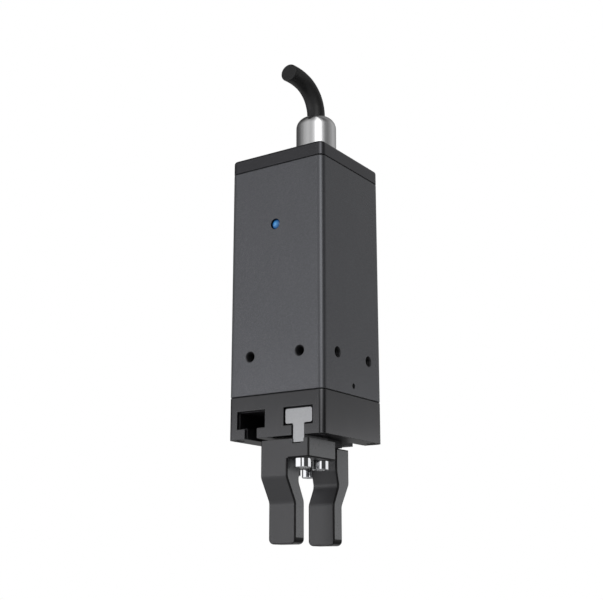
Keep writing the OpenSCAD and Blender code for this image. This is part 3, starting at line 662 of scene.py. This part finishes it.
# %% Steels
surface("chrome_screws", (230, 231, 234), 0.05, metallic=1, grain=0.3 * mm, stretch=(1, 1, 0.2),
        depth=4e-7, drift=0.02, swing=0.02, edge=0.1 * mm)
surface("steel_screws", (188, 187, 184), 0.28, metallic=1, grain=0.15 * mm, depth=1e-6, edge=0.1 * mm)
surface("black_screws", (52, 52, 55), 0.34, metallic=0.6, grain=0.12 * mm, depth=2e-6, drift=0.08,
        edge=0.1 * mm, worn=(96, 94, 92))
surface("ground_steel", (196, 197, 200), 0.20, metallic=1, grain=0.1 * mm, stretch=(0.1, 0.1, 1),
        depth=8e-7, drift=0.03, edge=0.1 * mm)
surface("gear_steel", (170, 168, 163), 0.30, metallic=1, grain=0.1 * mm, stretch=(1, 1, 0.1),
        depth=1.5e-6, drift=0.06, edge=0.08 * mm)
surface("motor_shell", (186, 186, 184), 0.26, metallic=1, stretch=(0.15, 0.15, 1), depth=1e-6,
        drift=0.04, edge=0.2 * mm)
surface("magnet", (150, 150, 155), 0.18, metallic=1, depth=6e-7, edge=0.15 * mm)
surface("bare_aluminium", (204, 205, 208), 0.32, metallic=1, grain=0.14 * mm, stretch=(0.15, 1, 1),
        drift=0.04, edge=0.15 * mm)
surface("gearhead_metal", (160, 160, 163), 0.30, metallic=1, grain=0.12 * mm, stretch=(0.1, 0.1, 1),
        edge=0.15 * mm)
print("finishes so far:", len(finishes))

# %% [markdown]
# The gland is brass, turned on a lathe and nickel plated to a soft shine. The tool leaves rings round
# the axis, far finer than the eye can count, which smear reflections a little up and down. The plain
# brass parts and the copper of the motor are turned or wound the same way round.

# %% Nickel, brass and copper
surface("gland_nickel", (232, 232, 233), 0.17, metallic=1, grain=0.1 * mm, stretch=(0.05, 0.05, 1),
        depth=6e-7, drift=0.02, edge=0.2 * mm)
surface("brass", (208, 168, 98), 0.24, metallic=1, grain=0.12 * mm, stretch=(0.1, 0.1, 1), depth=1e-6,
        edge=0.1 * mm)
surface("gear_brass", (198, 170, 110), 0.28, metallic=1, grain=0.1 * mm, stretch=(1, 1, 0.1),
        depth=1.5e-6, drift=0.06, edge=0.08 * mm)
surface("stator_core", (136, 84, 48), 0.36, metallic=0.7, grain=0.35 * mm, stretch=(0.03, 0.03, 1),
        depth=2e-5, drift=0.25)
print("finishes so far:", len(finishes))

# %% [markdown]
# Rubber and plastic scatter light inside, so they keep their colour at every angle. The cable's sheath
# is extruded and has a satin skin. Seals are matt, moulded parts have the fine texture of their mould.

# %% Rubber and plastic
surface("cable_jacket", (26, 26, 27), 0.46, grain=0.25 * mm, depth=8e-6, drift=0.06, swing=0.06)
surface("black_rubber", (34, 34, 34), 0.60, depth=8e-6, drift=0.08)
surface("black_plastic", (44, 44, 45), 0.46, grain=0.15 * mm, depth=6e-6, edge=0.2 * mm)
surface("white_plastic", (222, 219, 206), 0.42, depth=4e-6, drift=0.03, edge=0.15 * mm)
surface("red_elastomer", (186, 44, 36), 0.40, grain=0.3 * mm, depth=8e-6, edge=0.2 * mm)
surface("wire_insulation", (62, 74, 150), 0.38, grain=0.3 * mm, stretch=(1, 1, 0.2), depth=4e-6,
        drift=0.2)
print("finishes so far:", len(finishes))

# %% [markdown]
# The lamp's lens is clear blue plastic, 4 mm across, lit by a diode behind it. Its colour is painted
# brightest in the middle, as a painted glow of the diode, and darker towards the rim, as painted shade.
# The distance from the lens's own axis drives that colour, so it stays put from every side. A clear
# coat gives the wet-looking gloss.

# %% Lamp lens
GLOW = 0.22
FLECK, RIPPLE = 0.5 * mm, 0.6 * mm
# Painted glow of the diode in the middle and painted shade at the rim, from the middle outwards
LENS_PAINTED_LIGHT = ((0.0, (80, 152, 202)), (0.35, (44, 116, 176)), (0.72, (30, 90, 146)), (1.0, (10, 34, 70)))


def lens_plastic():
    material, tree, paint = new_material("blue_lens", Roughness=0.08, Coat_Weight=1.0,
                                         Emission_Strength=GLOW)
    centred = node(tree, "Mapping", own_place(tree), Scale=(1, 0, 1),
                   Location=(-lens_middle.x, 0, -lens_middle.z)).outputs[0]
    radius = node(tree, "VectorMath", centred, operation="LENGTH").outputs["Value"]
    # Painted light: the radius picks the painted glow and the painted shade
    colour = ramp(tree, map_range(tree, radius, 0.0, lens_r), [(p, srgb(*tone)) for p, tone in LENS_PAINTED_LIGHT])
    flecks = mix(tree, spread(tree, noise(tree, FLECK), 0, 1), (0.92, 0.94, 0.96), (1.06, 1.05, 1.04))
    colour = mix(tree, 1, colour, flecks, blend="MULTIPLY")
    feed(tree, paint.inputs["Base Color"], colour)
    feed(tree, paint.inputs["Emission Color"], colour)
    bump(tree, paint, noise(tree, RIPPLE), 2e-6)
    return material


finishes["blue_lens"] = lens_plastic()
print("lens radius in mm:", round(lens_r / mm, 2))

# %% [markdown]
# The circuit boards inside are glass fibre under green lacquer. Copper tracks lie under the lacquer and
# show as lighter lines. A brick pattern gives long thin tracks with gaps, and noise gives the weave.

# %% Circuit board
TRACK_SCALE = 420  # pattern units in a metre
WEAVE = 0.4 * mm


def board_lacquer():
    material, tree, paint = new_material("circuit_board", Coat_Weight=0.4)
    scaled = node(tree, "Mapping", own_place(tree), Scale=(TRACK_SCALE,) * 3,
                  Rotation=(math.radians(90), 0, 0)).outputs[0]
    tracks = node(tree, "TexBrick", scaled, Scale=1.0, Mortar_Size=0.12, Brick_Width=3.2, Row_Height=0.5,
                  Color1=srgb(18, 92, 52), Color2=srgb(24, 106, 60), Mortar=srgb(12, 64, 38)).outputs
    weave = noise(tree, WEAVE)
    colour = mix(tree, spread(tree, weave, 0, 0.25), tracks["Color"], srgb(40, 124, 76))
    feed(tree, paint.inputs["Base Color"], colour)
    feed(tree, paint.inputs["Roughness"], spread(tree, weave, 0.2, 0.36))
    bump(tree, paint, tracks["Fac"], 2e-5)
    return material


finishes["circuit_board"] = board_lacquer()
print("finishes in all:", len(finishes))

# %% [markdown]
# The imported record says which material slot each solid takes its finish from. One loop gives every
# solid the finish of its slot, and reports any slot that was forgotten.

# %% Dress the solids
slots = {part["node"]: part["material_slot"] for part in frame["record"]["subparts"]}
for name, solid in nodes.items():
    solid.data.materials.clear()
    solid.data.materials.append(finishes[slots[name]])
cable.data.materials.append(finishes["cable_jacket"])
print("slots without a finish:", sorted(set(slots.values()) - set(finishes)))

# %% [markdown]
# The fingers are milled from bar: a blade with two soft bends, and a foot beside it that bolts under the
# rail. All their long edges are rounded to about half a millimetre. The blade's side outline is a list
# of corners with a radius each. `rounded` turns it into a smooth closed line, and `shrunk` moves that
# line inwards, which is what a rounded edge does to the outline of each slice near the side.

# %% Blade outline
foot_low, foot_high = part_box("front_finger")
FRONT = foot_low.y
TOP = -1.25  # top of the blade and of the foot, in millimetres below the base block
UNDER = foot_high.z - TOP * mm  # underside of the base block
BLADE = (  # y and height below the base block, and the radius of that corner, in millimetres
    (FRONT / mm, TOP, 0), (FRONT / mm, -14.5, 3), (-15.8, -22.9, 3), (-15.8, -37.5, 0.6),
    (-9.9, -37.5, 0.6), (-9.9, -22.3, 3.5), (-13.5, -15.4, 3.5), (-12, -9.7, 4), (-12, TOP, 0),
)


def rounded(corners, steps=8):
    """Closed line of (y, z) in metres with an arc at each corner that has a radius."""
    line = []
    for i, (y, z, r) in enumerate(corners):
        here = Vector((y, z)) * mm
        if not r:
            line.append(here)
            continue
        before = (Vector(corners[i - 1][:2]) * mm - here).normalized()
        after = (Vector(corners[(i + 1) % len(corners)][:2]) * mm - here).normalized()
        half_turn = before.angle(after) / 2
        middle = here + (before + after).normalized() * (r * mm / math.sin(half_turn))
        start = here + before * (r * mm / math.tan(half_turn)) - middle
        end = here + after * (r * mm / math.tan(half_turn)) - middle
        bend = math.atan2(start.x * end.y - start.y * end.x, start.dot(end))
        line += [middle + Matrix.Rotation(bend * step / steps, 2) @ start for step in range(steps + 1)]
    return line


def shrunk(line, depth, sharpest=0.3):
    """The closed line moved inwards by depth; `sharpest` limits how far a sharp corner may run."""
    moved = []
    for i, here in enumerate(line):
        one = (here - line[i - 1]).normalized()
        two = (line[(i + 1) % len(line)] - here).normalized()
        along = (one + two).normalized()
        moved.append(here + Vector((-along.y, along.x)) * depth / max(sharpest, along.dot(two)))
    return moved


blade_line = rounded(BLADE)
print("points round the blade:", len(blade_line))

# %% [markdown]
# The blade is a row of such slices across its width. Near each side the slices shrink along a quarter
# circle, which rounds the long edges. The lower corners are rounded to 2 mm as seen from the front, so
# the last slices also end higher up. The angles lie closer together where the edge turns fastest.

# %% Blade slices
BLADE_W = 11.5 * mm
EASE = 0.55 * mm
TIP_R = 2 * mm
TIP_H = 6 * mm  # height over which the last slices are pushed up
SLICE_ANGLES = (0, 15, 30, 40, 46.5, 55, 63, 71, 79, 85, 90)


def blade_slices():
    """Distances from the blade's middle, each with how far that slice shrinks and how high it ends."""
    for b in map(math.radians, SLICE_ANGLES):
        across = BLADE_W / 2 - TIP_R + TIP_R * math.sin(b)
        past = max(0.0, across - (BLADE_W / 2 - EASE))
        yield across, EASE - math.sqrt(EASE ** 2 - min(past, EASE) ** 2), TIP_R * (1 - math.cos(b))


def blade_points():
    """All points of the blade, and the number of its slices."""
    slices = list(blade_slices())
    rows = [(-across, depth, lift) for across, depth, lift in reversed(slices)] + slices
    low = min(p.y for p in blade_line)
    points = []
    for across, depth, lift in rows:
        for p in shrunk(blade_line, depth):
            share = max(0.0, 1 - (p.y - low) / TIP_H)
            points.append(Vector((across, p.x, UNDER + p.y + lift * share)))
    return points, len(rows)


print("points of a blade:", len(blade_points()[0]))

# %% [markdown]
# The foot is a block with a notch for the rail's stem, and a thin strip closes the step between it and
# the blade. Its edges are rounded with a bevel. The edges inside the notch and against the blade stay
# sharp, because those faces sit flat on their neighbours. Each finger face then gets one of three
# finishes by its place: wide face, eased edge or side face.

# %% Foot of a finger
WIDE, EDGE, SIDE = 0, 1, 2
BLADE_X = BLADE_W / 2 - EASE  # where the blade's flat part ends and the strip starts
FOOT_X = 6 * mm
FOOT_BOTTOM, NOTCH = UNDER - 8 * mm, UNDER - 2.95 * mm
STEM_REACH = 2.4 * mm
STRIP_DEEP = 9 * mm
TINY = 1e-6
FOOT = [(FOOT_X, foot_high.z), (FOOT_X, FOOT_BOTTOM), (foot_high.x, FOOT_BOTTOM),
        (foot_high.x, foot_high.z), (rail_x + STEM_REACH, foot_high.z), (rail_x + STEM_REACH, NOTCH),
        (rail_x - STEM_REACH, NOTCH), (rail_x - STEM_REACH, foot_high.z)]
STRIP = [(BLADE_X, foot_high.z), (BLADE_X, FOOT_BOTTOM), (FOOT_X, FOOT_BOTTOM), (FOOT_X, foot_high.z)]


def add_block(work, outline, far):
    """A block from the finger's front to y = far, with an (x, z) outline. Gives its side faces."""
    n = len(outline)
    ends = [work.verts.new((x, y, z)) for y in (FRONT, far) for x, z in outline]
    work.faces.new(ends[:n])
    work.faces.new(ends[n:][::-1])
    sides = [work.faces.new([ends[i], ends[n + i], ends[n + (i + 1) % n], ends[(i + 1) % n]])
             for i in range(n)]
    bmesh.ops.recalc_face_normals(work, faces=work.faces)
    return sides


def is_eased(edge):
    """True on the foot's sharp edges, except in the notch and against the blade."""
    ends = [v.co for v in edge.verts]
    at_blade = all(abs(p.x - FOOT_X) < TINY for p in ends) and min(p.y for p in ends) < FRONT + TINY
    in_notch = min(p.z for p in ends) > NOTCH - TINY
    return edge.calc_face_angle(0) > 1 and not at_blade and not in_notch


def add_foot(work):
    sides = add_block(work, FOOT, foot_high.y)
    edges = [e for e in work.edges if any(f in sides for f in e.link_faces) and is_eased(e)]
    eased = bmesh.ops.bevel(work, geom=edges, offset=EASE, segments=3, profile=0.5, affect="EDGES",
                            clamp_overlap=True)
    for face in eased["faces"]:
        face.material_index = EDGE
    add_block(work, STRIP, FRONT + STRIP_DEEP)


print("foot from x in mm:", round(FOOT_X / mm, 2), "to", round(foot_high.x / mm, 2))

# %% [markdown]
# Both fingers are the same piece, and the rear one is turned half round the upright axis. Smooth
# shading would bend the light on the flat faces beside a rounded edge. A Weighted Normal modifier
# prevents that, because it lets the large faces decide the normals.

# %% Fingers
def even_normals(piece):
    """Keep the flat faces flat in the shading, beside rounded edges."""
    piece.modifiers.new("even_normals", "WEIGHTED_NORMAL").keep_sharp = True


def finger(name, turned):
    """Blade, foot and the strip between them as one piece."""
    work = bmesh.new()
    points, slices = blade_points()
    verts = [work.verts.new(p) for p in points]
    for face in tube(slices, len(blade_line)):
        made = work.faces.new([verts[i] for i in face])
        if len(face) > 4:
            made.material_index = SIDE
        elif abs(made.calc_center_median().x) > BLADE_X:
            made.material_index = EDGE
    add_foot(work)
    for face in work.faces:
        sideways = abs(face.normal.x) > 0.95 and face.calc_center_median().x > FOOT_X
        if face.material_index == WIDE and sideways:
            face.material_index = SIDE
    bmesh.ops.recalc_face_normals(work, faces=work.faces)
    if turned:
        bmesh.ops.rotate(work, verts=work.verts, cent=(0, 0, 0), matrix=Matrix.Rotation(math.pi, 3, "Z"))
    piece = linked_piece(bpy.data.meshes.new(name), work, 40)
    even_normals(piece)
    for finish in ("finger_anodised", "finger_painted_dark_edge", "finger_painted_lit_side"):
        piece.data.materials.append(finishes[finish])
    return piece


for side, turned in (("front", False), ("rear", True)):
    piece = finger(side + "_finger_rounded", turned)
    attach(piece, side + "_jaw")
    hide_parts(side + "_finger")
    print(piece.name, len(piece.data.polygons), "faces")

# %% [markdown]
# Screw threads are one ridge that winds round a core. The surface is a grid: each row follows the ridge
# round once, and because it climbs one pitch on the way, its last point joins the first point of the row
# one turn further on. The same grid makes the outside thread of a screw and the inside thread of a hole.

# %% Thread shape
PROFILE = ((0.0, 1), (0.2, 1), (0.5, 0), (0.7, 0))  # place along one pitch, and 1 on the ridge


def thread(core, ridge, start, end, pitch, sides):
    """Points and faces of a thread round Z, from z = start down to z = end; radii in metres."""
    n = len(PROFILE)
    rows = int((start - end) / pitch + 1) * n
    points, faces = [], []
    for i in range(-n, rows):
        place, share = PROFILE[i % n]
        for s, a in enumerate(turns(sides)):
            z = start - (i // n + place + s / sides) * pitch
            held = min(start, max(end, z))
            r = core + (ridge - core) * share * (held == z)
            points.append(Vector((r * math.cos(a), r * math.sin(a), held)))
    for i in range(rows + n - 1):
        for s in range(sides):
            t, skip = (s + 1, 0) if s + 1 < sides else (0, n)
            if i + 1 + skip < rows + n:
                faces.append((i * sides + s, (i + skip) * sides + t, (i + 1 + skip) * sides + t,
                              (i + 1) * sides + s))
    return points, faces


def joined(parts):
    """One list of points and faces out of several."""
    points, faces = [], []
    for more_points, more_faces in parts:
        faces += [tuple(i + len(points) for i in f) for f in more_faces]
        points += more_points
    return points, faces


print("rows of points in one turn of a thread:", len(PROFILE))

# %% [markdown]
# The four M4 holes in the front and right faces hold the gripper on its arm, and their threads can be
# seen from outside. The ridges stand 0.2 mm into the bore and stop short of its mouth and its bottom.
# One thread is made, turned to point out of the front face and moved to each hole.

# %% Threads in the side holes
BORE_R, RIDGE_H = 1.65 * mm, 0.2 * mm
SUNK = 0.02 * mm  # the core of the thread lies this deep in the wall, so no gap shows
MOUTH, BOTTOM = -0.7 * mm, -7.2 * mm
M4_PITCH, M4_SIDES = 0.7 * mm, 28
OUTWARDS = Matrix.Rotation(math.radians(90), 3, "X")
points, faces = thread(BORE_R + SUNK, BORE_R - RIDGE_H, MOUTH, BOTTOM, M4_PITCH, M4_SIDES)
parts = []
for face_turn in (0, 90):
    to_face = Matrix.Rotation(math.radians(face_turn), 3, "Z")
    for x in (-SIDE_HOLE_X, SIDE_HOLE_X):
        mouth = Vector((x, housing_low.y, SIDE_HOLE_Z))
        parts.append(([to_face @ (OUTWARDS @ p + mouth) for p in points], faces))
side_threads = add_mesh("side_hole_threads", *joined(parts), sharp=60)
side_threads.data.materials.append(finishes["tapped_thread"])
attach(side_threads, "root")
print("side threads at z in mm:", round(SIDE_HOLE_Z / mm, 2))

# %% [markdown]
# Socket head screws are turned from wire: a round head with an eased rim, a hexagon pressed into it with
# a small cone at its bottom, and a rolled thread. The heads of the jaw screws are polished smooth and
# chromed. The others have fine grooves round the head, so that fingers can start them. A screw is a
# stack of rings, and each ring asks a small function for its radius: a plain circle, the hexagon of the
# socket, or the grooved grip.

# %% One socket head screw
HEAD_SIDES, THREAD_SIDES = 72, 24
HEX = 0.46  # half the hexagon's width; this and the next are shares of the head's radius
RIM, GROOVE = 0.1, 0.035
THREAD_DEPTH = 0.54  # as a share of the pitch
RIM_ANGLES = (0.2, 0.6, 1.0, math.pi / 2)
Screw = namedtuple("Screw", "shank_r shank_l head_r head_h pitch")


def revolved(rows, sides):
    """Points and faces of rings; a row is (z, function of the angle that gives the radius)."""
    points = [Vector((reach(a) * math.cos(a), reach(a) * math.sin(a), z))
              for z, reach in rows for a in turns(sides)]
    return points, tube(len(rows), sides)


def circle(r):
    return lambda a: r


def socket_screw(size, grooved):
    """One screw whose head stands on z = 0, as points and faces."""
    shank, head, top = size.shank_r, size.head_r, size.head_h
    flat, ease = HEX * head, RIM * head
    core = shank - THREAD_DEPTH * size.pitch
    point = -size.shank_l + 0.3 * core

    def hexagon(a):
        return flat / math.cos((a + math.pi / 6) % (math.pi / 3) - math.pi / 6)

    def grip(a):
        return head - (GROOVE * head if grooved and round(a * HEAD_SIDES / (2 * math.pi)) % 2 else 0)

    # The pointed core, then the plain neck under the head
    rows = [(-size.shank_l, circle(core * 0.75)), (point, circle(core)), (-0.08 * head, circle(core)),
            (-0.08 * head, circle(shank * 0.98)), (0, circle(shank * 0.98))]
    # The head's underside, its grip and its rim
    rows += [(0, circle(head * 0.95)), (0.05 * head, grip), (top - ease, grip)]
    rows += [(top - ease * (1 - math.sin(a)), circle(head - ease * (1 - math.cos(a)) - 0.002 * mm))
             for a in RIM_ANGLES]
    # The socket: a countersunk mouth, the hexagon and the cone at its bottom
    rows += [(top, circle(flat * 1.24)), (top - 0.07 * head, hexagon), (top * 0.5, hexagon),
             (top * 0.5 - 0.3 * flat, circle(0.02 * flat))]
    ridge = thread(core * 0.99, shank, -0.12 * head, point, size.pitch, THREAD_SIDES)
    return joined((revolved(rows, HEAD_SIDES), ridge))


JAW, COVER, BASE = (Screw(*(v * mm for v in sizes)) for sizes in (
    (1.45, 11, 2.95, 3.4, 0.5), (1.2, 11, 2.75, 3, 0.45), (1.03, 20, 2.25, 2.5, 0.4)))
print("points in a jaw screw:", len(socket_screw(JAW, False)[0]))

# %% [markdown]
# Each set of screws replaces one solid. The box of that solid tells where its screws sit: one at each
# corner, with the heads against its top or its bottom. The screws under the base block have one more
# pair in the middle. A set is one piece, because its screws move together.

# %% Sets of screws
def spots(name, size, up):
    """The points under the heads, at the corners of a solid's box."""
    low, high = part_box(name)
    seat = high.z - size.head_h if up else low.z + size.head_h
    xs = sorted({round(low.x + size.head_r, 5), round(high.x - size.head_r, 5)})
    return [Vector((x, y, seat)) for x in xs for y in (low.y + size.head_r, high.y - size.head_r)]


def screw_set(name, body, size, up=False, grooved=True, middle_pair=False):
    """All screws of one solid as one piece, with the heads up or down."""
    places = spots(name, size, up)
    if middle_pair:
        places += [Vector((0, p.y, p.z)) for p in places[:2]]
    points, faces = socket_screw(size, grooved)
    way = Matrix.Rotation(0 if up else math.pi, 3, "X")
    piece = add_mesh(name + "_cut", *joined([([way @ p + place for p in points], faces)
                                             for place in places]), sharp=32)
    piece.data.materials.append(finishes[slots[name]])
    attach(piece, body)
    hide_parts(name)
    print(piece.name, "screws:", len(places))


screw_set("front_jaw_screws", "front_jaw", JAW, grooved=False)
screw_set("rear_jaw_screws", "rear_jaw", JAW, grooved=False)
screw_set("cover_screws", "root", COVER, up=True)
screw_set("base_screws", "root", BASE, middle_pair=True)

# %% [markdown]
# The lens is a small dome that stands in its hole and just reaches the face. Its curve is what makes it
# look like a lens: the middle shows the lit plastic, and one side catches a bright spark of the studio.
# The radius of the dome follows from its height and its width, and rings of that arc are turned into a
# solid with the same helper as the screws.

# %% Domed lens
DOME_H, SET_BACK = 0.9 * mm, 0.03 * mm
DOME_SIDES = 48
DOME_STEPS, TIP_STEP = 12, 12.3  # the last ring stops just short of the tip
dome_tip = -housing_low.y - SET_BACK
dome_r = (lens_r ** 2 + DOME_H ** 2) / (2 * DOME_H)
rows = [(-lens_high.y, circle(lens_r)), (dome_tip - DOME_H, circle(lens_r))]
for step in range(1, DOME_STEPS + 1):
    lean = math.asin(lens_r / dome_r) * (1 - step / TIP_STEP)
    rows.append((dome_tip - dome_r * (1 - math.cos(lean)), circle(dome_r * math.sin(lean))))
points, faces = revolved(rows, DOME_SIDES)
points = [OUTWARDS @ p + Vector((0, 0, lens_middle.z)) for p in points]
lens_dome = add_mesh("status_lens_dome", points, faces)
lens_dome.data.materials.append(finishes[slots["status_lens"]])
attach(lens_dome, "root")
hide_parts("status_lens")
print("dome radius in mm:", round(dome_r / mm, 2))

# %% [markdown]
# The top cover is milled from plate, and the cutter rounds its outer top edge to about a millimetre. The
# solid has that edge sharp, so a copy of its mesh is bevelled. Only the outer edge is meant: its points
# lie on a square with round corners, which tells them from the edges of the screw holes. Faces in one
# plane are merged first, so that the flat top is large and decides its own shading.

# %% Eased top cover
COVER_EASE = 1.0 * mm
CORNER_R = 2.6 * mm
ON_OUTLINE = 0.05 * mm
cover_low, cover_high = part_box("top_cover")


def is_rim(edge):
    """True on the outer top edge."""
    for v in edge.verts:
        x, y = (max(0.0, abs(c) - (cover_high.x - CORNER_R)) for c in v.co.xy)
        if v.co.z < cover_high.z - TINY or abs(math.hypot(x, y) - CORNER_R) > ON_OUTLINE:
            return False
    return edge.calc_face_angle(0) > 1


work = bmesh.new()
work.from_mesh(nodes["top_cover"].data)
bmesh.ops.remove_doubles(work, verts=work.verts, dist=TINY)
bmesh.ops.recalc_face_normals(work, faces=work.faces)
bmesh.ops.dissolve_limit(work, angle_limit=math.radians(0.5), verts=work.verts, edges=work.edges)
rim = [e for e in work.edges if is_rim(e)]
bmesh.ops.bevel(work, geom=rim, offset=COVER_EASE, segments=5, profile=0.5, affect="EDGES")
cover = linked_piece(bpy.data.meshes.new("top_cover_eased"), work, 30)
even_normals(cover)
cover.data.materials.append(finishes[slots["top_cover"]])
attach(cover, "root")
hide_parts("top_cover")
print("edges eased round the cover:", len(rim))
